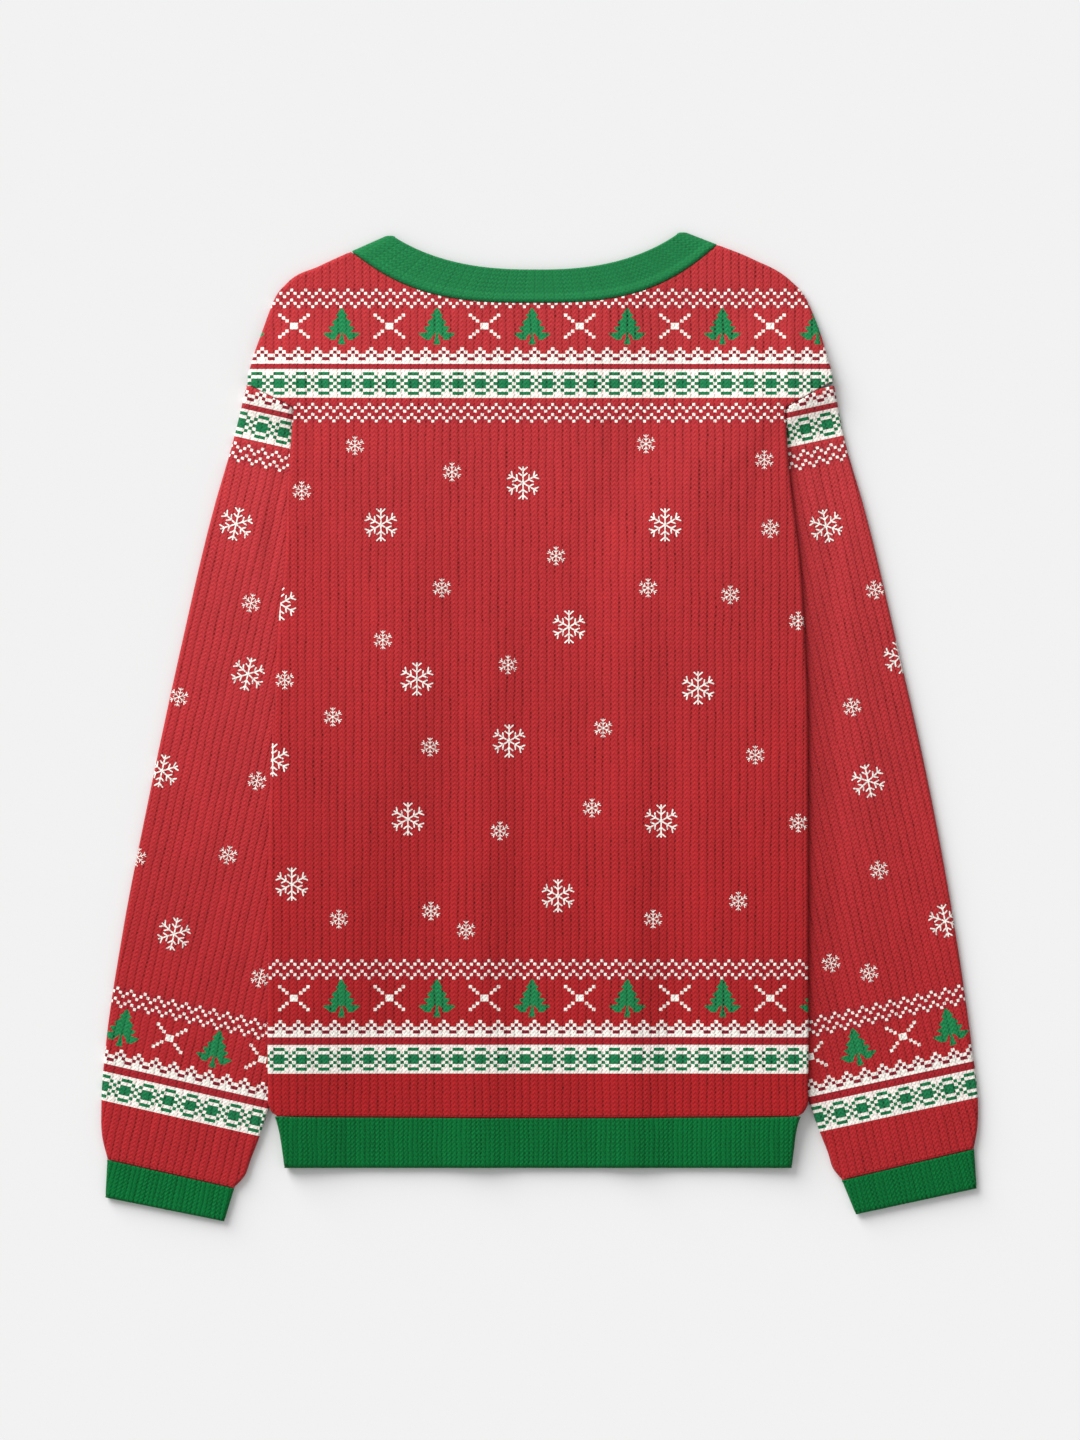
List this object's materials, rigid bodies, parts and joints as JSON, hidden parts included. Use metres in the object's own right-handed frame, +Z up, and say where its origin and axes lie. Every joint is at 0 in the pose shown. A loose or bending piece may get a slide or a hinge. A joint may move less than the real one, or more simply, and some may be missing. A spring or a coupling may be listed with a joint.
{
  "type": "christmas sweater laid flat",
  "caption": "Long-sleeved crew-neck knitted pullover laid flat, back up, with drop shoulders, ribbed collar, cuffs and hem, and bands of traditional winter motifs.",
  "frame": {"origin": "under the middle of the whole garment, on the surface that it lies on", "axes": "+X to the garment's right-hand side as it is seen from above, +Y from the hem to the neck, +Z up from the surface"},
  "size_m": [0.6556, 0.7428, 0.0113],
  "materials": {
    "patterned_knit": "matt knitted yarn, red ground with white and green motifs",
    "rib_knit": "matt green rib knitting"
  },
  "bodies": {
    "root": {"front_panel": "patterned_knit", "back_panel": "patterned_knit", "left_sleeve": "patterned_knit", "right_sleeve": "patterned_knit", "neck_band": "rib_knit", "hem_band": "rib_knit", "left_cuff": "rib_knit", "right_cuff": "rib_knit"}
  },
  "joints": []
}
